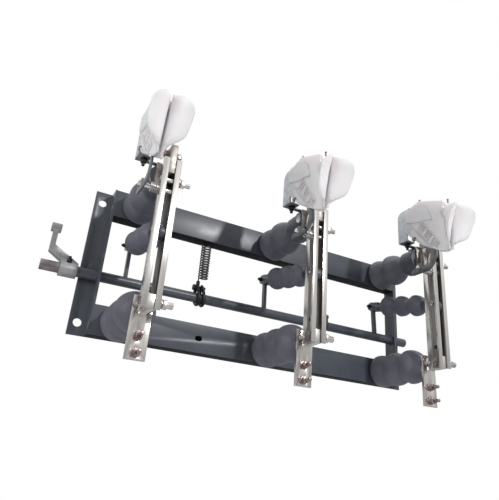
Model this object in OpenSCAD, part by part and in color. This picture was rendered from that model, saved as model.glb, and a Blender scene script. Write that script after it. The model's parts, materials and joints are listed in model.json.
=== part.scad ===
// Three-pole load-break disconnect switch for a switchgear cell, closed position.
// Frame of the model: X along the poles (0 on the middle pole), Y = 0 on the wall face
// with the poles standing out towards -Y, Z up.

/* [Frame] */
// Distance between the axes of neighbouring poles
pole_pitch = 275; // [240:1:320]
// Height of the side angles
frame_h = 260; // [250:1:300]
// Depth of the frame from the wall face to the beams' front face
frame_depth = 30; // [28:1:40]
// Distance from an outer pole to the outer face of its side angle
end_margin = 47; // [44:1:80]
// Wall thickness of the side angles
angle_t = 4; // [3:0.5:6]
// Width of the wall flange beside the web
flange_out = 28; // [24:1:40]
// Height of the box beams
beam_h = 50; // [44:1:60]
// Wall thickness of the box beams
beam_t = 4; // [3:0.5:6]
// Radius of the wall fixing holes
fixing_r = 7; // [5:0.5:8]
// Distance of the wall fixing holes from the ends of the angle
fixing_inset = 21; // [18:1:40]
// Width of the oval tooling hole in the lower beam
oval_w = 9; // [6:0.5:14]
// Length of the oval tooling hole in the lower beam
oval_l = 14; // [12:0.5:24]

/* [Insulators] */
// Length of a post insulator
post_l = 130; // [120:1:150]
// Radius of a post insulator's core
post_core_r = 24; // [20:0.5:27]
// Radius of a post insulator's sheds
post_shed_r = 32; // [26:0.5:34]
// Radius of the edges of a shed's rim
shed_rim_r = 6; // [4:0.5:7]
// Half width of the straight part of a shed's rim
shed_land = 5; // [3:0.5:6]
// Half width of a shed where it leaves the core
shed_root = 17; // [14:0.5:17]
// Distance of the first shed from the beam
first_shed = 17; // [16:0.5:24]
// Distance of the last shed of a lower insulator from its front face
shed_end = 31; // [24:0.5:36]
// Radius of the metal cap on an upper insulator
cap_r = 25; // [22:0.5:28]
// Length of the metal cap on an upper insulator
cap_l = 34; // [28:1:38]
// Width of the flat boss on top of the cap
boss_w = 25; // [20:0.5:30]
// Length of the flat boss on top of the cap
boss_l = 21; // [20:0.5:28]

/* [Terminals] */
// Width of a terminal bar
terminal_w = 30; // [26:1:40]
// Thickness of a terminal bar
terminal_t = 5; // [4:0.5:8]
// Length of a lower terminal below the insulator's axis
terminal_drop = 76; // [70:1:100]
// Distance between the two terminal holes
terminal_pitch = 24; // [20:1:30]
// Radius of the terminal holes
terminal_hole_r = 5.5; // [4:0.5:6.5]
// Distance of the lowest terminal hole from the terminal's end
terminal_end = 10; // [9:0.5:20]
// Distance the hinge lug reaches in front of the hinge
lug_front = 8; // [7:0.5:10]
// Distance the hinge lug reaches below the hinge
lug_below = 12; // [9:0.5:16]
// Distance the hinge lug reaches above the hinge
lug_above = 10; // [9:0.5:16]
// Height of the upper contact above the blade's end
contact_over = 26; // [20:1:34]

/* [Blades] */
// Clear distance between the two bars of a blade
bar_gap = 11; // [9:0.5:14]
// Width of a bar from front to back
bar_depth = 31; // [28:1:36]
// Distance from a bar's front edge to its pins
bar_front = 10; // [9:0.5:14]
// Width of a bar's front flange, web included
bar_flange = 8.5; // [7:0.5:10]
// Width of the raised band along a bar's back edge
band_w = 11.5; // [8:0.5:13]
// Height of the raised band along a bar's back edge
band_t = 1.2; // [0.8:0.1:2]
// Wall thickness of a bar
bar_t = 3; // [2:0.25:4]
// Distance of the blade hinge from the lower terminal's front
hinge_out = 29; // [29:0.5:36]
// Distance from the hinge to the bars' lower end
bar_below = 11; // [9:0.5:16]
// Height of the bars' upper end above the upper insulator's axis
bar_over = 16; // [10:0.5:24]
// Radius of the hinge pin
hinge_r = 5; // [4:0.5:6]
// Radius of the cross pin
cross_r = 4; // [3:0.5:5]
// Distance of the contact bolt below the upper insulator's axis
bolt_under = 18; // [16:0.5:20]
// Distance of the arcing axle below the upper insulator's axis
axle_under = 37; // [34:0.5:42]
// Radius of the arcing axle and of the contact bolt
axle_r = 4; // [3:0.5:5]
// Length of pin standing out beyond the bars on the nut side
pin_out = 20; // [16:1:26]

/* [Arcing contact] */
// Distance of the arcing lever and chute from the pole's axis
chute_off = 40; // [40:0.5:46]
// Thickness of the arcing lever
lever_t = 2.5; // [2:0.25:4]
// Width of the arcing lever
lever_w = 12; // [10:0.5:14]
// Height of the arcing lever's tip above its axle
lever_h = 88; // [82:1:94]
// Distance of the lever's upright part in front of its axle
lever_fwd = 38; // [34:0.5:42]
// Distance of the lever's heel below its axle
heel_drop = 6; // [4:0.5:9]
// Distance the lever's heel reaches behind its axle
heel_back = 14; // [10:0.5:18]
// Radius of the bend between the heel and the upright part
heel_bend = 20; // [16:0.5:24]
// Radius of the lever's hub
hub_r = 9; // [8:0.5:11]
// Radius of the torsion spring
coil_r = 5.7; // [5.6:0.1:5.8]
// Wire radius of the torsion spring
coil_wire = 1.2; // [0.8:0.1:1.4]
// Length of the torsion spring
coil_l = 17; // [12:0.5:20]
// Turns of the torsion spring
coil_turns = 5; // [3:1:6]

/* [Arc chute] */
// Half thickness of the chute's body
chute_half = 13; // [11:0.5:14]
// Half width across the chute's flared front
wing_half = 29; // [24:0.5:29]
// Wall thickness at the wings' front edge
wing_wall = 3; // [2:0.5:5]
// Half width of the slot for the arcing lever
slot_half = 3; // [2.5:0.25:4]
// Distance the chute reaches behind the arcing axle
chute_rear = 23; // [20:0.5:26]
// Distance the chute's wings reach in front of the arcing axle
wing_front = 115; // [112:1:120]
// Distance of the wings' root in front of the arcing axle
wing_start = 78; // [74:1:80]
// Distance of the funnel's root in front of the arcing axle
funnel_start = 85; // [82:1:88]
// Wall between the lever's slot and the strap
chute_rib = 2; // [1.5:0.25:3]
// Depth of the field around the windows
field_deep = 2; // [1:0.5:3]
// Distance of the window row's middle in front of the arcing axle
window_fwd = 36; // [32:0.5:40]
// Height of the window row's middle above the upper insulator's axis
window_up = 16; // [12:0.5:20]
// Slant of the window row in degrees
window_slant = 35; // [30:1:42]
// Depth of the window recesses
window_deep = 5; // [3:0.5:7]
// Width of the window recesses
window_w = 15; // [10:0.5:18]
// Length of one window recess
window_l = 21; // [15:0.5:22]
// Rib between two window recesses
window_rib = 4; // [3:0.5:8]
// Thickness of the strap that carries the chute
strap_t = 3; // [2:0.5:4]
// Width of the strap
strap_w = 24; // [20:0.5:26]
// Height of the strap above the insulator's cap
strap_h = 68; // [64:1:72]
// Radius of the strap's rounded rear corner
strap_corner = 14; // [8:0.5:18]
// Distance of the strap's rear edge behind the insulator's front face
strap_back = 11; // [9:0.5:14]
// Length of the strap's foot
foot_l = 21; // [18:0.5:24]
// Depth of the tongue from the strap's foot to the cap's boss
foot_tongue = 8; // [6:0.5:12]
// Height of the strap's front end
strap_head = 22; // [16:0.5:26]
// Distance the strap reaches in front of the insulator
strap_fwd = 26; // [22:0.5:27]

/* [Drive] */
// Radius of the main shaft
shaft_r = 9; // [8:0.5:11]
// Height of the shaft above the lower beam
shaft_over = 51; // [46:1:60]
// Length of shaft beyond the right side angle
shaft_right = 35; // [25:1:60]
// Length of shaft beyond the left side angle
shaft_left = 92; // [85:1:120]
// Distance of the retaining-ring groove from the right side angle
clip_in = 1.5; // [1:0.5:4]
// Width of the retaining-ring groove
clip_w = 2; // [1:0.25:3]
// Depth of the retaining-ring groove
clip_deep = 0.8; // [0.5:0.1:1.2]
// Width of a crank
crank_w = 9; // [8:0.5:12]
// Backward lean of the closed cranks in degrees
crank_lean = 3.4; // [0:0.1:5]
// Thickness of a crank
crank_t = 6; // [5:0.5:8]
// Radius of a crank's eye
crank_eye = 8; // [7:0.5:10]
// Radius of the crank pin
crank_pin_r = 4; // [3:0.5:5]
// Radius of the drive lever's clamp hub
drive_hub_r = 13; // [12:0.5:16]
// Length of the drive lever's clamp hub
drive_hub_l = 28; // [24:1:34]
// Distance from the shaft to the drive lever's eye
drive_arm = 67; // [60:1:75]
// Thickness of the drive lever's arm
drive_arm_t = 8; // [6:0.5:10]
// Offset of the drive lever's eye from its hub
drive_joggle = 14; // [10:0.5:18]
// Height above the shaft where the drive lever's arm leaves its hub
drive_bend = 12; // [11:0.5:12.5]
// Height above the shaft of the elbow on the inner side of the drive lever's arm
drive_elbow = 36; // [32:0.5:42]
// Height above the shaft of the elbow on the outer side of the drive lever's arm
drive_elbow_out = 25; // [22:0.5:28]
// Length of the drive lever's boss
drive_boss_l = 16; // [12:0.5:20]
// Width of the drive lever's arm
drive_arm_w = 12; // [9:0.5:15]
// Radius of the boss at the drive lever's end
drive_boss_r = 8; // [7:0.5:10]
// Bore radius in the drive lever's boss
drive_bore_r = 4; // [3:0.5:5]

/* [Pull rods] */
// Core radius of a pull rod
rod_core_r = 13; // [11:0.5:15]
// Radius of a pull rod's sheds
rod_shed_r = 21; // [18:0.5:23]
// Radius of the edges of the rim of a pull rod's sheds
rod_rim_r = 7; // [5:0.5:7.5]
// Half width of the straight part of the rim of a pull rod's sheds
rod_land = 3; // [2:0.5:4]
// Half width of a pull rod's shed where it leaves the core
rod_root = 15; // [12:0.5:17]
// Distance between a pull rod's sheds
rod_shed_pitch = 41; // [36:0.5:44]
// Distance of the front shed from the blade's cross pin
rod_last_shed = 47; // [44:0.5:52]
// Radius of a pull rod's metal ends
rod_end_r = 9; // [8.5:0.5:10]
// Clear height between the pull rods' sheds and the upper insulators' sheds
rod_room = 14; // [8:0.5:20]
// Height of a pull rod's rear end above its front end
rod_fall = 35; // [28:1:42]
// Thickness of the front tongue between the bars
tongue_t = 8; // [6:0.5:9]
// Depth of the slot in the rear fork from the crank pin
fork_deep = 17; // [16:0.5:22]
// Thickness of one ear of the rear fork
ear_t = 5; // [4:0.5:7]

/* [Return spring] */
// Distance of the return springs from the middle pole
spring_off = 133; // [110:1:165]
// Mean radius of the return spring
spring_r = 8; // [6:0.5:10]
// Wire radius of the return spring
spring_wire = 1.2; // [0.8:0.1:1.6]
// Turns of the return spring
spring_turns = 14; // [8:1:16]
// Distance from the shaft to the spring lug's eye
lug_arm = 27; // [24:0.5:32]
// Radius of the spring lug's eye end
lug_eye = 5; // [4:0.5:6]
// Radius of the spring lug where it leaves the clamp
lug_root = 8; // [6:0.5:9]
// Thickness of the spring lug
lug_t = 5; // [4:0.5:7]
// Outer radius of the clamp that carries the spring lug
clamp_r = 15; // [12:0.5:17]
// Length of the straight tails of the return spring
spring_tail = 4; // [3:0.5:6]
// Width of the clamp that carries the spring lug
clamp_w = 20; // [16:1:24]
// Distance of the spring lug from the clamp's middle
clamp_in = 5; // [3:0.5:7]

/* [Clearances] */
// Radial running clearance of pins and shafts
run_gap = 0.05; // [0.02:0.01:0.1]
// Clearance between a blade's bars and the contact between them
slide_gap = 0.3; // [0.2:0.05:0.5]
// Clearance between a moving piece and what it passes
pass_gap = 6; // [5:0.5:8]

/* [Hidden] */
$fn = 64;
cut = 1;
// Places worked out from the driving sizes
frame_z = -beam_t / 2;
frame_top = frame_z + frame_h;
web_x = pole_pitch + end_margin;
low_z = frame_z + beam_h / 2;
high_z = frame_top - beam_h / 2;
post_y = -frame_depth - post_l;
plate_y = post_y - terminal_t;
pad_top = high_z + cap_r;
shed_pitch = (post_l - first_shed - shed_end) / 2;
shaft_y = -frame_depth / 2;
shaft_z = frame_z + beam_h + shaft_over;
hinge_y = plate_y - hinge_out;
hinge_z = low_z;
bolt_z = high_z - bolt_under;
axle_z = high_z - axle_under;
axle_up = axle_z - hinge_z;
bar_in = bar_gap / 2;
bar_out = bar_in + bar_flange;
web_out = bar_in + bar_t;
bar_back = bar_depth - bar_front;
bar_top = high_z + bar_over;
fill_t = bar_gap - 2 * slide_gap;
lever_tip = norm([lever_fwd + lever_w / 2, axle_up + lever_h]);
strap_x = slot_half + chute_rib;
// The cranks end where the pull rods keep their distance from the upper insulators
crank_z = high_z - post_shed_r - rod_room - rod_shed_r;
crank_arm = (crank_z - shaft_z) / cos(crank_lean);
crank_y = shaft_y + crank_arm * sin(crank_lean);
cross_z = crank_z - rod_fall;
rod_dy = crank_y - hinge_y;
rod_l = norm([rod_dy, rod_fall]);
rod_tilt = atan2(rod_fall, rod_dy);
// Room for the cross pin in the tongue: the rod's open pivot, with its hole set back and below the pin
pivot_play = 4.2;
pivot_back = 1;
pivot_below = 3.5;
tongue_wall = 2.8;
tongue_hole = cross_r + pivot_play;
tongue_r = tongue_hole + tongue_wall;
// Corners of the chute's side outline and of its sunken field, as distances in front of the arcing axle
// and above the upper insulator's axis
chute_outline = [
    [-chute_rear, 46], [-10, 87], [20, 95], [89, 67], [wing_front, 46],
    [wing_front, 33], [95, 0], [73, -25], [58, -21], [20, 1], [-12, 32]
];
field_outline = [[-2 * chute_rear, 74], [15, 53], [33, 52], [50, 45], [wing_start, 0], [wing_start, -60], [-40, -60]];
frame_paint = [0.24, 0.26, 0.29];
resin = [0.33, 0.33, 0.38];
tinned = [0.76, 0.73, 0.68];
zinc = [0.6, 0.62, 0.65];
dark_steel = [0.2, 0.2, 0.2];
chute_white = [0.92, 0.9, 0.91];
cast_light = [0.75, 0.76, 0.77];

// A cylinder along X, centred on y and z, from x0 to x1
module bar_x(r, x0, x1, y = 0, z = 0)
    translate([x0, y, z]) rotate([0, 90, 0]) cylinder(r = r, h = x1 - x0);

// A cylinder along Y, from y0 forward to y1
module bar_y(r, y0, y1, x = 0, z = 0)
    translate([x, y0, z]) rotate([90, 0, 0]) cylinder(r = r, h = y0 - y1);

// A Y-Z outline made a plate of thickness t, centred on x
module plate_x(t, x = 0)
    translate([x - t / 2, 0, 0]) rotate([90, 0, 90]) linear_extrude(t) children();

// Two round ends of radius r0 and r1 joined by straight flanks, along the second axis
module link_outline(r0, r1, length) {
    a = asin((r0 - r1) / length);
    circle(r0);
    translate([0, length]) circle(r1);
    polygon([
        [r0 * cos(a), r0 * sin(a)],
        [r1 * cos(a), length + r1 * sin(a)],
        [-r1 * cos(a), length + r1 * sin(a)],
        [-r0 * cos(a), r0 * sin(a)]
    ]);
}

// Half section of one rounded shed at height y on a core of radius core
module shed_section(core, shed, root, rim, land, y) {
    polygon([[0, y - root], [core, y - root], [shed - rim, y - land - rim],
             [shed - rim, y + land + rim], [core, y + root], [0, y + root]]);
    for (e = [-1, 1]) translate([shed - rim, y + e * land]) circle(rim);
    translate([shed - rim, y - land]) square([rim, 2 * land]);
}

// A helix of round wire along Z, with a straight tail of the given length at each end
module wire_coil(r, wire, length, turns, tail = 0, sides = 6, steps = 12) {
    spot = function(i) [r * cos(360 * i / steps), r * sin(360 * i / steps), length * i / (turns * steps)];
    turn_ids = [for (i = [0:turns * steps]) i];
    ids = tail > 0 ? concat([0], turn_ids, [turns * steps]) : turn_ids;
    last = len(ids) - 1;
    path = [for (k = [0:last])
        spot(ids[k]) + (tail == 0 || (k > 0 && k < last) ? [0, 0, 0] : [0, 0, k == 0 ? -tail : tail])];
    ring = function(k) let (
        step = path[min(k + 1, last)] - path[max(k - 1, 0)],
        out = [cos(360 * ids[k] / steps), sin(360 * ids[k] / steps), 0],
        up = cross(out, step / norm(step))
    ) [for (j = [0:sides - 1]) path[k] + wire * (out * cos(360 * j / sides) - up * sin(360 * j / sides))];
    points = [for (k = [0:last]) each ring(k)];
    faces = concat(
        [[for (j = [0:sides - 1]) j]],
        [for (k = [0:last - 1], j = [0:sides - 1]) let (
            a = k * sides + j, b = k * sides + (j + 1) % sides) each [[a, a + sides, b], [b, a + sides, b + sides]]],
        [[for (j = [sides - 1:-1:0]) last * sides + j]]
    );
    polyhedron(points, faces, convexity = 10);
}

// Frame
module side_angle(side) color(frame_paint)
    mirror([side > 0 ? 1 : 0, 0, 0]) difference() {
        translate([-web_x, 0, frame_z]) linear_extrude(frame_h) polygon([
            [-flange_out, 0], [angle_t, 0], [angle_t, -frame_depth], [0, -frame_depth],
            [0, -angle_t], [-flange_out, -angle_t]
        ]);
        bar_x(shaft_r + run_gap, -web_x - cut, -web_x + angle_t + cut, shaft_y, shaft_z);
        for (z = [frame_z + fixing_inset, frame_top - fixing_inset])
            bar_y(fixing_r, cut, -angle_t - cut, -web_x - flange_out / 2, z);
    }

module box_beam(z)
    plate_x(2 * (web_x - angle_t)) translate([-frame_depth, z - beam_h / 2]) difference() {
        square([frame_depth, beam_h]);
        translate([beam_t, beam_t]) square([frame_depth - 2 * beam_t, beam_h - 2 * beam_t]);
    }

module upper_beam() color(frame_paint) box_beam(high_z);

module lower_beam() color(frame_paint) difference() {
    box_beam(low_z);
    translate([-spring_off, shaft_y, low_z]) rotate([90, 0, 0]) linear_extrude(frame_depth) {
        square([oval_l - oval_w, oval_w], center = true);
        for (s = [-1, 1]) translate([s * (oval_l - oval_w) / 2, 0]) circle(oval_w / 2);
    }
}

// Post insulators, standing forward from the beams
module post(z, sheds)
    translate([0, -frame_depth, z]) rotate([90, 0, 0]) rotate_extrude() {
        square([post_core_r, post_l]);
        for (i = [0:sheds - 1])
            shed_section(post_core_r, post_shed_r, shed_root, shed_rim_r, shed_land, first_shed + i * shed_pitch);
    }

module lower_insulator(pole) color(resin)
    translate([pole * pole_pitch, 0, 0]) post(low_z, 3);

module upper_insulator(pole) color(resin)
    translate([pole * pole_pitch, 0, 0]) {
        post(high_z, 2);
        bar_y(cap_r, post_y + cap_l, post_y, 0, high_z);
        translate([-boss_w / 2, post_y, high_z]) cube([boss_w, boss_l, cap_r]);
    }

// Lower terminal bar with the lug that carries the blade hinge
module lower_terminal(pole) color(tinned)
    translate([pole * pole_pitch, 0, 0]) difference() {
        union() {
            translate([-terminal_w / 2, plate_y, low_z - terminal_drop])
                cube([terminal_w, terminal_t, terminal_drop + terminal_w / 2]);
            plate_x(fill_t) translate([hinge_y - lug_front, hinge_z - lug_below])
                square([lug_front + hinge_out + terminal_t / 2, lug_below + lug_above]);
        }
        bar_x(hinge_r + run_gap, -terminal_w, terminal_w, hinge_y, hinge_z);
        for (i = [0, 1])
            bar_y(terminal_hole_r, post_y + cut, plate_y - cut, 0,
                  low_z - terminal_drop + terminal_end + i * terminal_pitch);
    }

// Upper fixed contact: a foot on the insulator's cap and a plate that the two bars close on,
// cut back below so that the contact bolt and the arcing axle pass it
module upper_contact(pole) color(tinned)
    translate([pole * pole_pitch, 0, 0]) {
        pin_room = axle_r + pass_gap;
        translate([-terminal_w / 2, plate_y, high_z - cap_r])
            cube([terminal_w, terminal_t, 2 * cap_r]);
        plate_x(fill_t) polygon([
            [hinge_y - lug_front, bolt_z + pin_room], [hinge_y + pin_room, bolt_z + pin_room],
            [hinge_y + pin_room, axle_z + pin_room], [plate_y + terminal_t / 2, axle_z + pin_room],
            [plate_y + terminal_t / 2, bar_top + contact_over], [hinge_y - lug_front, bar_top + contact_over]
        ]);
    }

// Outline seen from above: the body, and the two wings that open like a funnel
module chute_plan() {
    half = [
        [chute_half, hinge_y + chute_rear + cut], [chute_half, hinge_y - wing_start],
        [wing_half, hinge_y - wing_front - cut], [wing_half - wing_wall, hinge_y - wing_front - cut],
        [slot_half, hinge_y - funnel_start]
    ];
    polygon(concat(half, [for (i = [len(half) - 1:-1:0]) [-half[i][0], half[i][1]]]));
}

module chute_side(outline)
    polygon([for (p = outline) [hinge_y - p[0], high_z + p[1]]]);

// Row of three recesses on one side of the chute
module chute_windows()
    translate([chute_half - field_deep - window_deep, hinge_y - window_fwd, high_z + window_up])
        rotate([-window_slant, 0, 0]) for (i = [-1, 0, 1])
            translate([0, -window_w / 2, i * (window_l + window_rib) - window_l / 2])
                cube([window_deep + field_deep + cut, window_w, window_l]);

module arc_chute(pole) color(chute_white)
    translate([pole * pole_pitch - chute_off, 0, 0]) difference() {
        intersection() {
            translate([0, 0, hinge_z]) linear_extrude(2 * lever_tip) chute_plan();
            plate_x(2 * wing_half + cut) chute_side(chute_outline);
        }
        intersection() {
            bar_x(lever_tip + pass_gap, -slot_half, slot_half, hinge_y, hinge_z);
            translate([-slot_half, hinge_y - wing_front - cut, hinge_z])
                cube([2 * slot_half, wing_front + cut - lever_fwd + lever_w / 2 + pass_gap, 2 * lever_tip]);
        }
        for (s = [0, 1]) mirror([s, 0, 0]) {
            plate_x(field_deep + cut, chute_half + (cut - field_deep) / 2) chute_side(field_outline);
            chute_windows();
        }
        translate([-chute_half - cut, post_y - strap_fwd - cut, pad_top])
            cube([chute_half - strap_x + cut, post_l, lever_tip]);
    }

// Strap that carries the chute from the top of the insulator's cap
module chute_strap(pole) color(zinc)
    translate([pole * pole_pitch - chute_off - strap_x, 0, 0]) {
        plate_x(strap_t, -strap_t / 2) translate([post_y + strap_back, pad_top]) {
            translate([-strap_w, 0]) square([strap_w, strap_h - strap_corner]);
            translate([-strap_back - strap_fwd, strap_h - strap_head])
                square([strap_back + strap_fwd - strap_corner, strap_head]);
            translate([-strap_corner, strap_h - strap_corner]) circle(strap_corner);
        }
        translate([-strap_t, post_y + strap_back - strap_w, pad_top]) cube([foot_l, strap_w, strap_t]);
        translate([-strap_t, post_y + strap_back - foot_tongue, pad_top])
            cube([chute_off + boss_w / 2, foot_tongue, strap_t]);
    }

// Main shaft with its cranks and levers
module main_shaft() color(dark_steel) difference() {
    bar_x(shaft_r, -web_x - shaft_left, web_x + shaft_right, shaft_y, shaft_z);
    difference() {
        bar_x(shaft_r + cut, web_x + clip_in, web_x + clip_in + clip_w, shaft_y, shaft_z);
        bar_x(shaft_r - clip_deep, web_x, web_x + shaft_right, shaft_y, shaft_z);
    }
}

module crank(pole) color(frame_paint)
    translate([pole * pole_pitch, shaft_y, shaft_z]) rotate([-crank_lean, 0, 0]) difference() {
        plate_x(crank_t) {
            translate([-crank_w / 2, 0]) square([crank_w, crank_arm]);
            translate([0, crank_arm]) circle(crank_eye);
        }
        bar_x(shaft_r, -crank_t, crank_t);
        bar_x(crank_pin_r + run_gap, -crank_t, crank_t, 0, crank_arm);
    }

// Lever on the left end of the shaft: clamp hub, joggled arm and the boss for the operating rod
module drive_lever() color(cast_light)
    translate([-web_x - flange_out - pass_gap - drive_hub_l, shaft_y, shaft_z]) difference() {
        union() {
            bar_x(drive_hub_r, 0, drive_hub_l);
            translate([0, drive_arm_w / 2, 0]) rotate([90, 0, 0]) linear_extrude(drive_arm_w) polygon([
                [0, 0], [drive_hub_l, 0], [drive_hub_l, drive_bend], [-drive_joggle, drive_elbow],
                [-drive_joggle, drive_arm], [-drive_joggle - drive_arm_t, drive_arm],
                [-drive_joggle - drive_arm_t, drive_elbow_out], [0, (shaft_r + drive_hub_r) / 2]
            ]);
            bar_x(drive_boss_r, -drive_joggle - (drive_arm_t + drive_boss_l) / 2,
                  -drive_joggle - (drive_arm_t - drive_boss_l) / 2, 0, drive_arm);
        }
        bar_x(shaft_r + run_gap, -cut, drive_hub_l + cut);
        bar_x(drive_bore_r, -drive_joggle - drive_arm_t - drive_boss_l, 0, 0, drive_arm);
    }

// Clamp on the shaft with the lug that pulls a return spring
module spring_clamp(side) color(dark_steel)
    mirror([side < 0 ? 1 : 0, 0, 0]) translate([spring_off + spring_r, shaft_y, shaft_z]) difference() {
        union() {
            bar_x(clamp_r, -clamp_in - clamp_w / 2, clamp_w / 2 - clamp_in);
            plate_x(lug_t) link_outline(lug_root, lug_eye, lug_arm);
        }
        bar_x(shaft_r, -clamp_w, clamp_w);
    }

module return_spring(side) color(zinc) {
    low = shaft_z + lug_arm + lug_eye + slide_gap;
    high = high_z - beam_h / 2 - slide_gap;
    mirror([side < 0 ? 1 : 0, 0, 0]) translate([spring_off, shaft_y, low + spring_tail])
        wire_coil(spring_r, spring_wire, high - low - 2 * spring_tail, spring_turns, spring_tail);
}

// Pull rod: rear fork on the crank, ribbed body, tongue between the blade's bars
module pull_rod(pole) color(resin)
    translate([pole * pole_pitch, crank_y, crank_z]) rotate([rod_tilt, 0, 0]) {
        fork_w = crank_t + 2 * slide_gap + 2 * ear_t;
        body_end = rod_l - rod_last_shed + rod_root;
        difference() {
            union() {
                plate_x(fork_w) {
                    circle(crank_eye);
                    translate([-fork_deep - crank_eye, -rod_end_r]) square([fork_deep + crank_eye, 2 * rod_end_r]);
                }
                translate([0, -fork_deep, 0]) rotate([90, 0, 0]) rotate_extrude() {
                    square([rod_end_r, body_end - fork_deep]);
                    for (i = [0:2]) shed_section(rod_end_r, rod_shed_r, rod_root, rod_rim_r, rod_land,
                                                 body_end - rod_root - fork_deep - i * rod_shed_pitch);
                    translate([0, body_end - rod_root - fork_deep - 2 * rod_shed_pitch])
                        square([rod_core_r, 2 * rod_shed_pitch]);
                }
            }
            plate_x(crank_t + 2 * slide_gap) translate([-fork_deep, -crank_eye - cut])
                square([fork_deep + crank_eye + cut, 2 * (crank_eye + cut)]);
        }
        bar_x(crank_pin_r, -fork_w / 2, fork_w / 2);
        difference() {
            plate_x(tongue_t) translate([pivot_back - rod_l, 0]) {
                translate([0, -pivot_below]) circle(tongue_r);
                translate([0, -rod_end_r]) square([rod_last_shed, 2 * rod_end_r]);
            }
            bar_x(tongue_hole, -tongue_t, tongue_t, pivot_back - rod_l, -pivot_below);
        }
    }

// Main blade: two flanged bars on the hinge pin, the cross pin and the arcing axle
module flanged_bar()
    translate([bar_in, 0, -bar_below]) linear_extrude(bar_below + bar_top - hinge_z) polygon([
        [0, -bar_front], [bar_flange, -bar_front], [bar_flange, bar_t - bar_front], [bar_t, bar_t - bar_front],
        [bar_t, bar_back - band_w], [bar_t + band_t, bar_back - band_w], [bar_t + band_t, bar_back], [0, bar_back]
    ]);

module main_blade(pole) color(tinned)
    translate([pole * pole_pitch, hinge_y, hinge_z]) {
        for (s = [0, 1]) mirror([s, 0, 0]) flanged_bar();
        bar_x(hinge_r, -bar_out, bar_out + pin_out);
        bar_x(cross_r, -bar_out, bar_out, 0, cross_z - hinge_z);
        bar_x(axle_r, -bar_out, bar_out + pin_out, 0, bolt_z - hinge_z);
        bar_x(axle_r, -chute_off - 2 * lever_t, bar_out, 0, axle_up);
        bar_x(coil_r - coil_wire - slide_gap, -chute_off + lever_t / 2, -bar_in, 0, axle_up);
    }

// Arcing lever on the axle: a heel below the axle that bends up into the chute
module arcing_lever(pole) color(dark_steel)
    translate([pole * pole_pitch - chute_off, hinge_y, axle_z]) difference() {
        plate_x(lever_t) {
            circle(hub_r);
            translate([heel_back, -heel_drop]) circle(lever_w / 2);
            translate([heel_bend - lever_fwd, -heel_drop - lever_w / 2])
                square([lever_fwd - heel_bend + heel_back, lever_w]);
            translate([heel_bend - lever_fwd, heel_bend - heel_drop]) intersection() {
                difference() {
                    circle(heel_bend + lever_w / 2);
                    circle(heel_bend - lever_w / 2);
                }
                translate([-2 * heel_bend, -2 * heel_bend]) square(2 * heel_bend);
            }
            translate([-lever_fwd - lever_w / 2, heel_bend - heel_drop])
                square([lever_w, lever_h + heel_drop - heel_bend]);
        }
        bar_x(axle_r, -lever_t, lever_t);
    }

module torsion_spring(pole) color(zinc)
    translate([pole * pole_pitch - web_out - slide_gap - coil_wire, hinge_y, axle_z]) rotate([0, -90, 0])
        wire_coil(coil_r, coil_wire, coil_l, coil_turns);

side_angle(-1);  // left_side_angle
side_angle(1);  // right_side_angle
upper_beam();
lower_beam();
lower_insulator(-1);  // lower_insulator_left
lower_insulator(0);  // lower_insulator_middle
lower_insulator(1);  // lower_insulator_right
upper_insulator(-1);  // upper_insulator_left
upper_insulator(0);  // upper_insulator_middle
upper_insulator(1);  // upper_insulator_right
lower_terminal(-1);  // lower_terminal_left
lower_terminal(0);  // lower_terminal_middle
lower_terminal(1);  // lower_terminal_right
upper_contact(-1);  // upper_contact_left
upper_contact(0);  // upper_contact_middle
upper_contact(1);  // upper_contact_right
chute_strap(-1);  // chute_strap_left
chute_strap(0);  // chute_strap_middle
chute_strap(1);  // chute_strap_right
arc_chute(-1);  // arc_chute_left
arc_chute(0);  // arc_chute_middle
arc_chute(1);  // arc_chute_right
main_shaft();
crank(-1);  // crank_left
crank(0);  // crank_middle
crank(1);  // crank_right
drive_lever();
spring_clamp(-1);  // spring_clamp_left
spring_clamp(1);  // spring_clamp_right
return_spring(-1);  // return_spring_left
return_spring(1);  // return_spring_right
pull_rod(-1);  // pull_rod_left
pull_rod(0);  // pull_rod_middle
pull_rod(1);  // pull_rod_right
main_blade(-1);  // main_blade_left
main_blade(0);  // main_blade_middle
main_blade(1);  // main_blade_right
arcing_lever(-1);  // arcing_lever_left
arcing_lever(0);  // arcing_lever_middle
arcing_lever(1);  // arcing_lever_right
torsion_spring(-1);  // torsion_spring_left
torsion_spring(0);  // torsion_spring_middle
torsion_spring(1);  // torsion_spring_right
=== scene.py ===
"""Looks of a three-pole load-break disconnect switch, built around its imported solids."""
import json
import math

import bpy
from mathutils import Matrix, Vector

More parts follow.
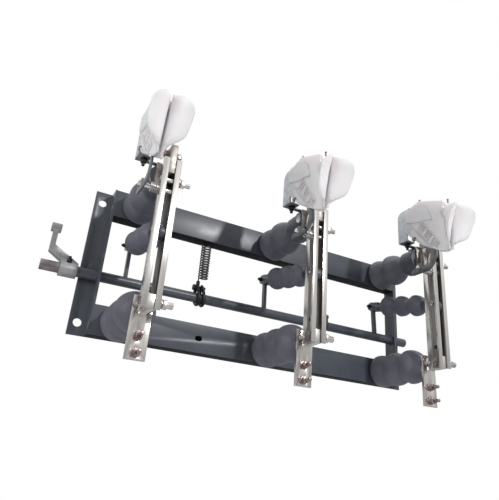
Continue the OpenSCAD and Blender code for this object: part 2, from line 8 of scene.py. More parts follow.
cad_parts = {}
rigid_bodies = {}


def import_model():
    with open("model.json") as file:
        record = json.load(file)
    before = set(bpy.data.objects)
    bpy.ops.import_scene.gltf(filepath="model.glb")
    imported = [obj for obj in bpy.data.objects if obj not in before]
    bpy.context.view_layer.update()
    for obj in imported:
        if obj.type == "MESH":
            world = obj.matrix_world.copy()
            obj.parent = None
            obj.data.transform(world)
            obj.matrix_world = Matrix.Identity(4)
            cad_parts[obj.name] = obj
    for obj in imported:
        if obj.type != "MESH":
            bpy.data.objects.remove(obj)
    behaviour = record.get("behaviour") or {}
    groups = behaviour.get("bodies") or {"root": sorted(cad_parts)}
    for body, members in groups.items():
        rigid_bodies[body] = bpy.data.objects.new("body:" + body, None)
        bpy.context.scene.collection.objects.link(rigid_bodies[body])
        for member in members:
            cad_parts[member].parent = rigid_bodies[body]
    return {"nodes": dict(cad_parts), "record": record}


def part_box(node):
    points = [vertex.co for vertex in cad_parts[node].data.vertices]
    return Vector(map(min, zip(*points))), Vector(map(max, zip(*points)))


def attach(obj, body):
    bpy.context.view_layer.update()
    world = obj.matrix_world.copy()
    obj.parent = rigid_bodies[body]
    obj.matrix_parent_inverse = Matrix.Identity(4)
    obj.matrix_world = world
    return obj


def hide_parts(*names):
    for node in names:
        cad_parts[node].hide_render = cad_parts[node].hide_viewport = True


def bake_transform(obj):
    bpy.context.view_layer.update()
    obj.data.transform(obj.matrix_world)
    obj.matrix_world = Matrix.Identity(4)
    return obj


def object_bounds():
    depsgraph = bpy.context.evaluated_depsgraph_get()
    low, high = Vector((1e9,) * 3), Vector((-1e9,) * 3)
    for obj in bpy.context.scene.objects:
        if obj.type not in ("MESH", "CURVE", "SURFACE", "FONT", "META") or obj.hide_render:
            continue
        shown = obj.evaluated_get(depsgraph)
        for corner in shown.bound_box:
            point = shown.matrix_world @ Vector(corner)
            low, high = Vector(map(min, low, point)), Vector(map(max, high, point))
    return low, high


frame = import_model()
cad_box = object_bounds()

MM = 0.001
POLES = ("left", "middle", "right")
SIDES = ("left", "right")
RIGHT = Vector((1, 0, 0))
LEFT = -RIGHT
FRONT = Vector((0, -1, 0))
REAR = -FRONT
UP = Vector((0, 0, 1))
DOWN = -UP
record = frame["record"]
nodes = frame["nodes"]
joint_at = {j["name"]: Vector(j["pos_m"]) for j in record["behaviour"]["joints"]}
mount_of = {m["name"]: m for m in record["mounts"]}
body_of_node = {n: b for b, names in record["behaviour"]["bodies"].items() for n in names}
slot_of_node = {s["node"]: s["material_slot"] for s in record["subparts"]}


# Finishes

def new_finish(name, metallic=0.0, coat=0.0):
    """A material with its shader and the object's own coordinates."""
    finish = bpy.data.materials.new(name)
    finish.use_nodes = True
    tree = finish.node_tree
    shader = tree.nodes["Principled BSDF"]
    shader.inputs["Metallic"].default_value = metallic
    shader.inputs["Coat Weight"].default_value = coat
    where = tree.nodes.new("ShaderNodeTexCoord")
    return finish, tree, shader, where.outputs["Object"]


def speckle(tree, where, scale, detail=4.0, stretch=(1, 1, 1)):
    """Noise of a given scale in cycles per metre, stretched along an axis for brushed metal."""
    turn = tree.nodes.new("ShaderNodeMapping")
    turn.inputs["Scale"].default_value = stretch
    noise = tree.nodes.new("ShaderNodeTexNoise")
    noise.inputs["Scale"].default_value = scale
    noise.inputs["Detail"].default_value = detail
    tree.links.new(where, turn.inputs["Vector"])
    tree.links.new(turn.outputs["Vector"], noise.inputs["Vector"])
    return noise.outputs["Fac"]


def tint(tree, shader, fac, dark, light, low=0.3, high=0.7):
    """Base colour that wanders between two tones."""
    ramp = tree.nodes.new("ShaderNodeValToRGB")
    ramp.color_ramp.elements[0].position = low
    ramp.color_ramp.elements[1].position = high
    ramp.color_ramp.elements[0].color = (*dark, 1)
    ramp.color_ramp.elements[1].color = (*light, 1)
    tree.links.new(fac, ramp.inputs["Fac"])
    tree.links.new(ramp.outputs["Color"], shader.inputs["Base Color"])


def gloss(tree, shader, fac, low, high):
    """Roughness that wanders between two values."""
    span = tree.nodes.new("ShaderNodeMapRange")
    span.inputs["From Min"].default_value = 0.3
    span.inputs["From Max"].default_value = 0.7
    span.inputs["To Min"].default_value = low
    span.inputs["To Max"].default_value = high
    tree.links.new(fac, span.inputs["Value"])
    tree.links.new(span.outputs["Result"], shader.inputs["Roughness"])


def relief(tree, shader, fac, height, strength=0.4):
    """Fine bump of a given height in metres."""
    bump = tree.nodes.new("ShaderNodeBump")
    bump.inputs["Strength"].default_value = strength
    bump.inputs["Distance"].default_value = height
    tree.links.new(fac, bump.inputs["Height"])
    tree.links.new(bump.outputs["Normal"], shader.inputs["Normal"])


def slate_paint():
    """Stove-enamelled slate grey of the frame, the shaft and the cast caps."""
    finish, tree, shader, where = new_finish("slate_paint")
    tint(tree, shader, speckle(tree, where, 18), (0.052, 0.059, 0.074), (0.070, 0.079, 0.098))
    gloss(tree, shader, speckle(tree, where, 45), 0.32, 0.40)
    relief(tree, shader, speckle(tree, where, 900, 2), 0.0002, 0.15)
    return finish


def painted_underside_shade():
    """Painted shade: very dark, dull paint with little shine on the downward faces of the frame, where shade
    falls.
    """
    finish, tree, shader, where = new_finish("painted_underside_shade")
    tint(tree, shader, speckle(tree, where, 25), (0.007, 0.008, 0.010), (0.013, 0.015, 0.018))
    gloss(tree, shader, speckle(tree, where, 60), 0.55, 0.70)
    relief(tree, shader, speckle(tree, where, 900, 2), 0.0002, 0.15)
    shader.inputs["Specular IOR Level"].default_value = 0.08
    return finish


def cast_resin():
    """Semi-matt cast resin of the insulators."""
    finish, tree, shader, where = new_finish("cast_resin")
    tint(tree, shader, speckle(tree, where, 30), (0.086, 0.089, 0.116), (0.122, 0.125, 0.157))
    gloss(tree, shader, speckle(tree, where, 70), 0.44, 0.58)
    relief(tree, shader, speckle(tree, where, 1400, 3), 0.0002, 0.3)
    return finish


def tinned_copper():
    """Tinned contact metal, lightly brushed along its length, with a warm tarnish."""
    finish, tree, shader, where = new_finish("tinned_copper", metallic=1.0)
    tint(tree, shader, speckle(tree, where, 55, 6, (1, 1, 0.10)), (0.50, 0.475, 0.45), (0.77, 0.75, 0.725))
    gloss(tree, shader, speckle(tree, where, 160, 4, (1, 1, 0.06)), 0.16, 0.30)
    relief(tree, shader, speckle(tree, where, 1600, 2, (1, 1, 0.04)), 0.0002, 0.2)
    return finish


def painted_web_shade():
    """Painted shade: contact metal darkened on the webs in the hollows of the bars, where shade falls."""
    finish, tree, shader, where = new_finish("painted_web_shade", metallic=0.9)
    tint(tree, shader, speckle(tree, where, 70, 6, (1, 1, 0.15)), (0.15, 0.14, 0.136), (0.29, 0.27, 0.262))
    gloss(tree, shader, speckle(tree, where, 160, 4, (1, 1, 0.06)), 0.34, 0.52)
    relief(tree, shader, speckle(tree, where, 1600, 2, (1, 1, 0.04)), 0.0002, 0.2)
    return finish


def dirty_tin():
    """Tinned contact plates dulled by arcing."""
    finish, tree, shader, where = new_finish("dirty_tin", metallic=0.9)
    tint(tree, shader, speckle(tree, where, 90, 8), (0.17, 0.155, 0.145), (0.50, 0.47, 0.44))
    gloss(tree, shader, speckle(tree, where, 140, 5), 0.34, 0.56)
    relief(tree, shader, speckle(tree, where, 900, 4), 0.0003, 0.3)
    return finish


def bright_zinc():
    """Clean nuts and bolt ends."""
    finish, tree, shader, where = new_finish("bright_zinc", metallic=1.0)
    tint(tree, shader, speckle(tree, where, 140), (0.46, 0.45, 0.46), (0.62, 0.61, 0.62))
    gloss(tree, shader, speckle(tree, where, 200), 0.22, 0.34)
    relief(tree, shader, speckle(tree, where, 1800, 2), 0.0002, 0.05)
    return finish


def spring_steel():
    """Dark oiled wire of the return springs."""
    finish, tree, shader, where = new_finish("spring_steel", metallic=0.9)
    tint(tree, shader, speckle(tree, where, 200), (0.075, 0.072, 0.072), (0.17, 0.165, 0.16))
    gloss(tree, shader, speckle(tree, where, 300), 0.26, 0.42)
    relief(tree, shader, speckle(tree, where, 2400, 2), 0.0002, 0.2)
    return finish


def zinc_plate():
    """Zinc-plated strap, springs and fasteners."""
    finish, tree, shader, where = new_finish("zinc_plate", metallic=1.0)
    tint(tree, shader, speckle(tree, where, 120), (0.40, 0.42, 0.45), (0.56, 0.58, 0.61))
    gloss(tree, shader, speckle(tree, where, 260), 0.28, 0.46)
    relief(tree, shader, speckle(tree, where, 2200, 2), 0.0002, 0.2)
    return finish


def brown_zinc():
    """Passivated washers and bolts with a brown tinge."""
    finish, tree, shader, where = new_finish("brown_zinc", metallic=1.0)
    tint(tree, shader, speckle(tree, where, 240), (0.14, 0.088, 0.088), (0.46, 0.39, 0.38))
    gloss(tree, shader, speckle(tree, where, 400), 0.24, 0.44)
    relief(tree, shader, speckle(tree, where, 2600, 2), 0.0002, 0.2)
    return finish


def black_steel():
    """Blackened steel of the clamps and screws."""
    finish, tree, shader, where = new_finish("black_steel", metallic=0.5)
    tint(tree, shader, speckle(tree, where, 90), (0.012, 0.012, 0.013), (0.030, 0.030, 0.032))
    gloss(tree, shader, speckle(tree, where, 200), 0.36, 0.54)
    relief(tree, shader, speckle(tree, where, 1800, 2), 0.0002, 0.25)
    return finish


def lever_steel():
    """Grey steel of the arcing levers."""
    finish, tree, shader, where = new_finish("lever_steel", metallic=0.8)
    tint(tree, shader, speckle(tree, where, 110), (0.115, 0.118, 0.118), (0.20, 0.205, 0.205))
    gloss(tree, shader, speckle(tree, where, 240), 0.32, 0.48)
    relief(tree, shader, speckle(tree, where, 1900, 2), 0.0002, 0.2)
    return finish


def bare_steel():
    """Turned bare steel of the shaft's end and the levers' heels, with a trace of rust."""
    finish, tree, shader, where = new_finish("bare_steel", metallic=1.0)
    tint(tree, shader, speckle(tree, where, 60, 5), (0.13, 0.112, 0.114), (0.29, 0.26, 0.266))
    gloss(tree, shader, speckle(tree, where, 300, 3, (0.2, 1, 1)), 0.26, 0.42)
    relief(tree, shader, speckle(tree, where, 1500, 2, (0.1, 1, 1)), 0.0002, 0.2)
    return finish


def cast_alloy():
    """Light alloy of the drive lever."""
    finish, tree, shader, where = new_finish("cast_alloy", metallic=0.6)
    tint(tree, shader, speckle(tree, where, 90), (0.27, 0.27, 0.28), (0.36, 0.36, 0.37))
    gloss(tree, shader, speckle(tree, where, 420), 0.36, 0.56)
    relief(tree, shader, speckle(tree, where, 700, 3), 0.0003, 0.10)
    return finish


def chute_plastic():
    """Milky moulding of the arc chutes, which lets light through."""
    finish, tree, shader, where = new_finish("chute_plastic")
    tint(tree, shader, speckle(tree, where, 24), (0.87, 0.825, 0.845), (0.93, 0.895, 0.91))
    gloss(tree, shader, speckle(tree, where, 80), 0.34, 0.50)
    relief(tree, shader, speckle(tree, where, 700, 3), 0.0002, 0.2)
    shader.inputs["Subsurface Weight"].default_value = 0.7
    shader.inputs["Subsurface Scale"].default_value = 0.016
    shader.inputs["Subsurface Radius"].default_value = (1.0, 0.8, 0.8)
    return finish


SLATE = slate_paint()
UNDER = painted_underside_shade()
RESIN = cast_resin()
TINNED = tinned_copper()
WEB_SHADE = painted_web_shade()
DIRTY = dirty_tin()
ZINC = zinc_plate()
BRIGHT = bright_zinc()
BROWN = brown_zinc()
SPRING = spring_steel()
BLACK = black_steel()
LEVER = lever_steel()
BARE = bare_steel()
ALLOY = cast_alloy()
MILKY = chute_plastic()
slot_finish = {"frame_paint": SLATE, "cast_resin": RESIN, "tinned_copper": TINNED, "galvanised_steel": ZINC,
               "dark_steel": SLATE, "cast_alloy": ALLOY, "chute_plastic": MILKY}


# Making pieces

def select_only(*pieces):
    """Nothing selected but these pieces, with the first one active."""
    bpy.ops.object.select_all(action="DESELECT")
    for piece in pieces:
        piece.select_set(True)
    bpy.context.view_layer.objects.active = pieces[0]


def edit_all(piece):
    """Edit mode with the whole mesh selected."""
    select_only(piece)
    bpy.ops.object.mode_set(mode="EDIT")
    bpy.ops.mesh.select_all(action="SELECT")


def dress(piece, name, body, finish, smooth=35):
    """Name, material, shading and ride of a finished piece."""
    piece.name = name
    piece.data.name = name
    piece.data.materials.clear()
    piece.data.materials.append(finish)
    select_only(piece)
    bpy.ops.object.transform_apply(location=True, rotation=True, scale=True)
    bpy.ops.object.shade_smooth_by_angle(angle=math.radians(smooth))
    if body:
        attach(piece, body)
    return piece


def second_finish(piece, finish, here):
    """Another material on the faces that pass a test of their middle and their normal."""
    piece.data.materials.append(finish)
    for face in piece.data.polygons:
        if here(face.center, face.normal):
            face.material_index = len(piece.data.materials) - 1


def round_edges(piece, width, segments=2, angle=40):
    """Rounded edges by a bevel that is applied."""
    bevel = piece.modifiers.new("edges", "BEVEL")
    bevel.width = width
    bevel.segments = segments
    bevel.limit_method = "ANGLE"
    bevel.angle_limit = math.radians(angle)
    bevel.use_clamp_overlap = True
    bpy.context.view_layer.objects.active = piece
    bpy.ops.object.modifier_apply(modifier=bevel.name)


def merged_copy(node):
    """A copy of a node's mesh with its loose triangles merged into plain faces."""
    select_only(nodes[node])
    bpy.ops.object.duplicate()
    piece = bpy.context.view_layer.objects.active
    bpy.ops.object.parent_clear(type="CLEAR_KEEP_TRANSFORM")
    edit_all(piece)
    bpy.ops.mesh.remove_doubles(threshold=0.002 * MM)
    bpy.ops.mesh.customdata_custom_splitnormals_clear()
    bpy.ops.mesh.dissolve_limited(angle_limit=math.radians(0.5))
    bpy.ops.object.mode_set(mode="OBJECT")
    return piece


def cut_at(piece, spot, normal, drop=False):
    """The mesh split by a plane; the part that the normal points to may be dropped."""
    edit_all(piece)
    bpy.ops.mesh.bisect(plane_co=spot, plane_no=normal, use_fill=drop, clear_outer=drop)
    bpy.ops.object.mode_set(mode="OBJECT")


def softened(node, finish=None, width=0.6 * MM, segments=2, smooth=35, piece=None):
    """A copy of a node with rounded edges, which stands for the node."""
    piece = piece or merged_copy(node)
    if width:
        round_edges(piece, width, segments)
    dress(piece, node + "_finished", body_of_node[node],
          finish or slot_finish[slot_of_node[node]], smooth)
    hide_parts(node)
    return piece


def stud(radius, depth, at, along, sides=24, bevel=0.4 * MM):
    """A round or six-sided bar from a point along a direction, with its edges rounded."""
    along = Vector(along).normalized()
    bpy.ops.object.select_all(action="DESELECT")
    bpy.ops.mesh.primitive_cylinder_add(vertices=sides, radius=radius, depth=depth,
                                        location=Vector(at) + along * depth / 2,
                                        rotation=along.to_track_quat("Z", "Y").to_euler())
    piece = bpy.context.view_layer.objects.active
    bpy.ops.object.transform_apply(location=True, rotation=True, scale=True)
    if bevel:
        round_edges(piece, bevel)
    return piece


def joined(parts):
    """Several shapes made one piece."""
    select_only(*parts)
    bpy.ops.object.join()
    return bpy.context.view_layer.objects.active


def wire(points, radius, sides=3):
    """Round wire along points, as a mesh."""
    data = bpy.data.curves.new("wire", "CURVE")
    data.dimensions = "3D"
    data.bevel_depth = radius
    data.bevel_resolution = sides
    data.use_fill_caps = True
    spline = data.splines.new("POLY")
    spline.points.add(len(points) - 1)
    for spot, point in zip(spline.points, points):
        spot.co = (*point, 1)
    piece = bpy.data.objects.new("wire", data)
    bpy.context.scene.collection.objects.link(piece)
    select_only(piece)
    bpy.ops.object.convert(target="MESH")
    return bpy.context.view_layer.objects.active


def rounded_path(corners, radius, steps=6):
    """Points of a path whose inner corners are rounded."""
    path = [Vector(corners[0])]
    for before, corner, after in zip(corners, corners[1:], corners[2:]):
        before, corner, after = Vector(before), Vector(corner), Vector(after)
        start = corner + (before - corner).normalized() * radius
        end = corner + (after - corner).normalized() * radius
        for k in range(steps + 1):
            t = k / steps
            path.append(start * (1 - t) ** 2 + corner * 2 * t * (1 - t) + end * t ** 2)
    return path + [Vector(corners[-1])]


def coil_path(centre, axis, first, radius, length, turns, steps=24):
    """Points of a helix from a centre along an axis, starting in a given direction."""
    axis, first = Vector(axis), Vector(first)
    second = axis.cross(first)
    path = []
    for k in range(turns * steps + 1):
        turn = 2 * math.pi * k / steps
        path.append(Vector(centre) + axis * (length * k / (turns * steps))
                    + (first * math.cos(turn) + second * math.sin(turn)) * radius)
    return path


def outline_plate(corners, x_from, x_to, edge):
    """Flat plate between two places across, of an outline given as depth and height."""
    bpy.ops.object.select_all(action="DESELECT")
    bpy.ops.mesh.primitive_circle_add(vertices=len(corners), fill_type="NGON")
    plate = bpy.context.view_layer.objects.active
    for vertex, (depth, height) in zip(plate.data.vertices, corners):
        vertex.co = (x_from, depth, height)
    edit_all(plate)
    bpy.ops.mesh.extrude_region_move(TRANSFORM_OT_translate={"value": (x_to - x_from, 0, 0)})
    bpy.ops.mesh.select_all(action="SELECT")
    bpy.ops.mesh.normals_make_consistent(inside=False)
    bpy.ops.object.mode_set(mode="OBJECT")
    round_edges(plate, edge)
    return plate


# Fasteners: thicknesses and radii as shares of the thread, and their rounded edges
WASHER_T, RING_T, NUT_T, HEAD_T = 0.22, 0.28, 0.85, 0.65
WASHER_R, RING_R, HEX_R, BOLT_R, HEAD_WASHER_R = 1.08, 0.80, 0.92, 0.49, 1.05
WASHER_EDGE, HEX_EDGE, BOLT_EDGE, BOLT_SUNK = 0.2 * MM, 0.5 * MM, 0.8 * MM, 0.5 * MM


def nut_stack(name, at, along, thread, stand_out, body, finish=None):
    """Washer, spring washer, nut and the end of the bolt, seated at a point."""
    at, along = Vector(at), Vector(along).normalized()
    washer, ring, nut = WASHER_T * thread, RING_T * thread, NUT_T * thread
    under = [stud(WASHER_R * thread, washer, at, along, 32, WASHER_EDGE),
             stud(RING_R * thread, ring, at + along * washer, along, 28, WASHER_EDGE)]
    tip = at + along * (washer + ring + nut - BOLT_SUNK)
    above = [stud(HEX_R * thread, nut, at + along * (washer + ring), along, 6, HEX_EDGE),
             stud(BOLT_R * thread, stand_out, tip, along, 20, BOLT_EDGE)]
    dress(joined(under), name + "_washers", body, finish or BROWN)
    dress(joined(above), name, body, finish or BRIGHT)


def bolt_head(name, at, along, thread, body, finish=None):
    """Washer and six-sided head of a bolt, seated at a point."""
    at, along = Vector(at), Vector(along).normalized()
    washer = WASHER_T * thread
    parts = [stud(HEAD_WASHER_R * thread, washer, at, along, 32, WASHER_EDGE),
             stud(HEX_R * thread, HEAD_T * thread, at + along * washer, along, 6, HEX_EDGE)]
    dress(joined(parts), name, body, finish or BROWN)


# Frame, shaft and drive

FRAME_EDGE, CRANK_EDGE, LEVER_EDGE, SHAFT_EDGE = 0.9 * MM, 0.8 * MM, 1.6 * MM, 1.2 * MM
FACING = 0.9
BARE_REACH = 14 * MM
HUB_THREAD, HUB_STAND_OUT = 4.6 * MM, 5 * MM
HUB_SEAT = Vector((-15, -6, 11)) * MM

shaft = joint_at["shaft_turn"]
hub_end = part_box("drive_lever")[1][0]
bare_from = hub_end - BARE_REACH

for node in ("left_side_angle", "right_side_angle", "upper_beam", "lower_beam"):
    piece = softened(node, width=FRAME_EDGE, segments=3)
    # Painted shade: the downward faces of the frame get the very dark underside paint.
    second_finish(piece, UNDER, lambda c, n: n.z < -FACING)
for pole in POLES:
    softened("crank_" + pole, width=CRANK_EDGE)
softened("drive_lever", width=LEVER_EDGE, segments=3)
shaft_bar = merged_copy("main_shaft")
cut_at(shaft_bar, (bare_from, 0, 0), RIGHT)
shaft_piece = softened("main_shaft", SLATE, SHAFT_EDGE, 3, piece=shaft_bar)
second_finish(shaft_piece, BARE, lambda c, n: c.x < bare_from)
hub_seat = Vector((hub_end, shaft.y, shaft.z)) + HUB_SEAT
nut_stack("hub_screw", hub_seat, UP, HUB_THREAD, HUB_STAND_OUT, "shaft", BLACK)


# Insulators and pull rods

CAP_LENGTH, CAP_LAP = 34 * MM, 1 * MM
CAST_EDGE, CAST_SMOOTH = 0.8 * MM, 50
SHED_FILLET, SHED_SLOPE = 1.2 * MM, 2.3
EDGE_STEPS, SLOPE_STEPS, TURN_STEPS = 5, 10, 64
POST_CORE, POST_RIM, POST_EDGE = 17 * MM, 32 * MM, 2.4 * MM
POST_REACH, POST_LEAD, POST_HOLLOW = 21 * MM, 9 * MM, 3 * MM
LOWER_SHEDS = (17 * MM, 58 * MM, 99 * MM)
UPPER_SHEDS = LOWER_SHEDS[:2]
ROD_FALL, ROD_LAP = 35 * MM, 0.5 * MM
ROD_CORE, ROD_RIM, ROD_EDGE, ROD_END = 10 * MM, 21 * MM, 1.8 * MM, 9 * MM
ROD_REACH, ROD_LEAD, ROD_HOLLOW = 15 * MM, 8 * MM, 3 * MM
ROD_LAST, ROD_PITCH = 47 * MM, 41 * MM


def shed(at, core, rim, edge, reach, lead, hollow):
    """Section of one bell-shaped shed, as places along the axis and radii.

    It is hollow behind its rim and slopes in front.
    """
    rear = at - lead - edge
    section = [(rear + hollow - SHED_FILLET, core), (rear + hollow, core + SHED_FILLET),
               (rear + 0.75 * hollow, (rim - edge + core) / 2)]
    for k in range(EDGE_STEPS + 1):
        turn = math.pi / 2 * k / EDGE_STEPS
        section.append((rear + edge * (1 - math.cos(turn)), rim - edge + edge * math.sin(turn)))
    for k in range(1, SLOPE_STEPS + 1):
        t = k / SLOPE_STEPS
        section.append((at - lead + (reach + lead) * t, core + (rim - core) * (1 - t ** SHED_SLOPE)))
    return section


def turned(section, base, along):
    """Solid turned from a section about an axis that starts at a point."""
    bpy.ops.object.select_all(action="DESELECT")
    bpy.ops.mesh.primitive_circle_add(vertices=len(section))
    piece = bpy.context.view_layer.objects.active
    for vertex, (run, radius) in zip(piece.data.vertices, section):
        vertex.co = base + along * run + RIGHT * radius
    edit_all(piece)
    bpy.ops.mesh.spin(steps=TURN_STEPS, angle=2 * math.pi, center=base, axis=along)
    bpy.ops.mesh.select_all(action="SELECT")
    bpy.ops.mesh.remove_doubles(threshold=0.02 * MM)
    bpy.ops.mesh.delete_loose(use_verts=True, use_edges=True, use_faces=False)
    bpy.ops.mesh.select_all(action="SELECT")
    bpy.ops.mesh.normals_make_consistent(inside=False)
    bpy.ops.object.mode_set(mode="OBJECT")
    return piece


def post(node, sheds, length):
    """Resin post of an insulator from its beam to the front."""
    low, high = (Vector(corner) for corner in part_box(node))
    base = Vector(((low.x + high.x) / 2, high.y, high.z - POST_RIM))
    section = [(0, 0)]
    for at in sheds:
        section += shed(at, POST_CORE, POST_RIM, POST_EDGE, POST_REACH, POST_LEAD, POST_HOLLOW)
    section += [(length, POST_CORE), (length, 0)]
    piece = dress(turned(section, base, FRONT), node + "_finished", "frame", RESIN,
                  CAST_SMOOTH)
    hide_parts(node)


def insulators(pole):
    """Lower post of a pole, and its upper post with the painted cap."""
    node = "lower_insulator_" + pole
    low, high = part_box(node)
    post(node, LOWER_SHEDS, high[1] - low[1])
    node = "upper_insulator_" + pole
    low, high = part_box(node)
    cap = merged_copy(node)
    cut_at(cap, (0, low[1] + CAP_LENGTH, 0), REAR, drop=True)
    round_edges(cap, CAST_EDGE)
    dress(cap, "insulator_cap_" + pole, "frame", SLATE, CAST_SMOOTH)
    post(node, UPPER_SHEDS, high[1] - low[1] - CAP_LENGTH + CAP_LAP)


def pull_rod(pole):
    """Ribbed resin rod with its painted fork and tongue."""
    node = "pull_rod_" + pole
    pin = joint_at["rod_%s_pivot" % pole]
    run = Vector((0, joint_at["blade_%s_hinge" % pole].y - pin.y, -ROD_FALL))
    along = run.normalized()
    sheds = [run.length - ROD_LAST - k * ROD_PITCH for k in (2, 1, 0)]
    neck, nose = sheds[0] - ROD_REACH, sheds[-1] + ROD_REACH
    section = [(neck, 0), (neck, ROD_END)]
    for at in sheds:
        section += shed(at, ROD_CORE, ROD_RIM, ROD_EDGE, ROD_REACH, ROD_LEAD, ROD_HOLLOW)
    section += [(nose, ROD_END), (nose, 0)]
    fork, tongue = merged_copy(node), merged_copy(node)
    cut_at(fork, pin + along * (neck + ROD_LAP), along, drop=True)
    cut_at(tongue, pin + along * (nose - ROD_LAP), -along, drop=True)
    for end in (fork, tongue):
        round_edges(end, CAST_EDGE)
        end.data.materials.clear()
        end.data.materials.append(SLATE)
    rod = turned(section, pin, along)
    rod.data.materials.append(RESIN)
    rod = joined([rod, fork, tongue])
    rod.name = rod.data.name = node + "_finished"
    select_only(rod)
    bpy.ops.object.shade_smooth_by_angle(angle=math.radians(CAST_SMOOTH))
    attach(rod, "rod_" + pole)
    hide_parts(node)


for pole in POLES:
    insulators(pole)
    pull_rod(pole)


# Return springs and their clamps

SPRING_RADIUS, SPRING_WIRE, SPRING_TURNS, SPRING_TAIL = 8.4 * MM, 1.4 * MM, 13, 5 * MM
WIRE_SMOOTH = 60
RING_RADIUS, RING_WIRE, RING_DRAW, RING_OFF = 12.2 * MM, 3.1 * MM, 9 * MM, 5 * MM
RING_LEAN, RING_PINCH, RING_SMOOTH = 0.16, 0.25, 40
EYE_RADIUS, EYE_LENGTH, EYE_RISE = 3.4 * MM, 16 * MM, 16 * MM
LUG_NUT_RADIUS, LUG_NUT_LENGTH, LUG_NUT_OFF, LUG_NUT_RISE = 6.0 * MM, 5 * MM, 4 * MM, 19 * MM
CROSS_RADIUS, CROSS_LENGTH, CROSS_RISE = 2.8 * MM, 20 * MM, 20 * MM


def shaft_ring(x, outward):
    """A loop of round bar bent round the shaft and drawn out upwards to its spring."""
    bpy.ops.object.select_all(action="DESELECT")
    bpy.ops.mesh.primitive_torus_add(major_radius=RING_RADIUS, minor_radius=RING_WIRE, major_segments=40,
                                     minor_segments=10, rotation=(0, math.pi / 2, 0))
    ring = bpy.context.view_layer.objects.active
    bpy.ops.object.transform_apply(location=True, rotation=True, scale=True)
    for vertex in ring.data.vertices:
        reach = max(vertex.co.z, 0) / RING_RADIUS
        lean = RING_LEAN * vertex.co.z
        vertex.co.z += RING_DRAW * reach
        vertex.co.y *= 1 - RING_PINCH * reach
        vertex.co += Vector((x + outward * lean, shaft.y, shaft.z))
    return ring


def return_spring(side, outward):
    """Coil from the upper beam down to its clamp, with a hook at each end; gives the lower hook's place."""
    low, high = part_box("return_spring_" + side)
    middle = Vector(((low[0] + high[0]) / 2, shaft.y, low[2]))
    hook = middle + RIGHT * outward * SPRING_RADIUS
    coil = coil_path(middle + UP * SPRING_TAIL, UP, RIGHT * outward, SPRING_RADIUS,
                     high[2] - low[2] - 2 * SPRING_TAIL, SPRING_TURNS)
    top_hook = Vector((hook.x, hook.y, high[2]))
    spring = dress(wire([hook] + coil + [top_hook], SPRING_WIRE), "return_spring_%s_wire" % side, None,
                   SPRING, WIRE_SMOOTH)
    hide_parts("return_spring_" + side)
    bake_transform(spring)
    return hook


def spring_clamp(side, outward, hook):
    """Two rings on the shaft, with the eye, nut and cross bolt that hold a spring's hook."""
    low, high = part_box("spring_clamp_" + side)
    middle = (low[0] + high[0]) / 2
    lug = Vector((hook.x, shaft.y, shaft.z))
    nut_seat = lug + UP * LUG_NUT_RISE + RIGHT * outward * LUG_NUT_OFF
    cross = Vector((middle - CROSS_LENGTH / 2, shaft.y, shaft.z + CROSS_RISE))
    parts = [shaft_ring(middle - RING_OFF, outward), shaft_ring(middle + RING_OFF, outward),
             stud(EYE_RADIUS, EYE_LENGTH, lug + UP * EYE_RISE, UP, 16, 0.8 * MM),
             stud(LUG_NUT_RADIUS, LUG_NUT_LENGTH, nut_seat, RIGHT * outward, 6, 0.6 * MM),
             stud(CROSS_RADIUS, CROSS_LENGTH, cross, RIGHT, 16, 0.6 * MM)]
    clamp = dress(joined(parts), "spring_clamp_%s_rings" % side, "shaft", BLACK, RING_SMOOTH)
    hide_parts("spring_clamp_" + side)


for side, outward in zip(SIDES, (-1, 1)):
    spring_clamp(side, outward, return_spring(side, outward))


# Arc chutes: a body of two halves with windows, and two petals that open like a funnel

CHUTE_HALF, CHUTE_EDGE, CHUTE_SMOOTH = 13 * MM, 1.6 * MM, 40
BODY_FRONT, SLOT_WALL = 79 * MM, 5 * MM
TAPER_FROM, TAPER_RUN = 45 * MM, 30 * MM
TAPER_BELOW, TAPER_DROP, TAPER_SHARE = 240 * MM, 25 * MM, 0.65
PETAL_WALL, PETAL_HOLLOW, PETAL_LAP, PETAL_CUTS = 2.2 * MM, 2.5 * MM, 0.1 * MM, 21
PETAL_OUT = Vector((0.7, -0.7, 0)) * PETAL_WALL
LIP = 1.32
SEAM = (Vector((LIP, 75.7, 208.8)) * MM, Vector((LIP, 93.0, 297.0)) * MM)
# Edge of a petal from the bottom of the seam to its top: across, in front of the hinge, height
PETAL_EDGE = [Vector(p) * MM for p in (
    (LIP, 75.7, 208.8), (9.4, 82.3, 221.5), (24.6, 97.1, 231.6), (28.6, 106.8, 252.0),
    (28.8, 114.5, 267.4), (22.0, 117.0, 278.5), (12.1, 110.0, 287.5), (LIP, 93.0, 297.0))]
RIDGE_TOP, RIDGE_BEND, RIDGE_FOOT = (57 * MM, 303 * MM), (81 * MM, 264 * MM), (82 * MM, 209 * MM)


def along_edge(t):
    """Point on the smooth edge of a petal, from its bottom at 0 to its top at 1."""
    last = len(PETAL_EDGE) - 1
    k = min(int(t * last), last - 1)
    u = t * last - k
    a, b = PETAL_EDGE[max(k - 1, 0)], PETAL_EDGE[k]
    c, d = PETAL_EDGE[k + 1], PETAL_EDGE[min(k + 2, last)]
    return 0.5 * (2 * b + (c - a) * u + (2 * a - 5 * b + 4 * c - d) * u ** 2
                  + (3 * b - a - 3 * c + d) * u ** 3)


def ridge_forward(height):
    """Where a petal leaves the chute's side, at a height."""
    low, high = (RIDGE_FOOT, RIDGE_BEND) if height < RIDGE_BEND[1] else (RIDGE_BEND, RIDGE_TOP)
    return low[0] + (high[0] - low[0]) * (height - low[1]) / (high[1] - low[1])


def narrowing(forward, height):
    """Share of the body's half thickness that is left towards its lower front corner."""
    front = min(max((forward - TAPER_FROM) / TAPER_RUN, 0), 1)
    low = min(max((TAPER_BELOW - height) / TAPER_DROP, 0), 1)
    return 1 - TAPER_SHARE * front * low


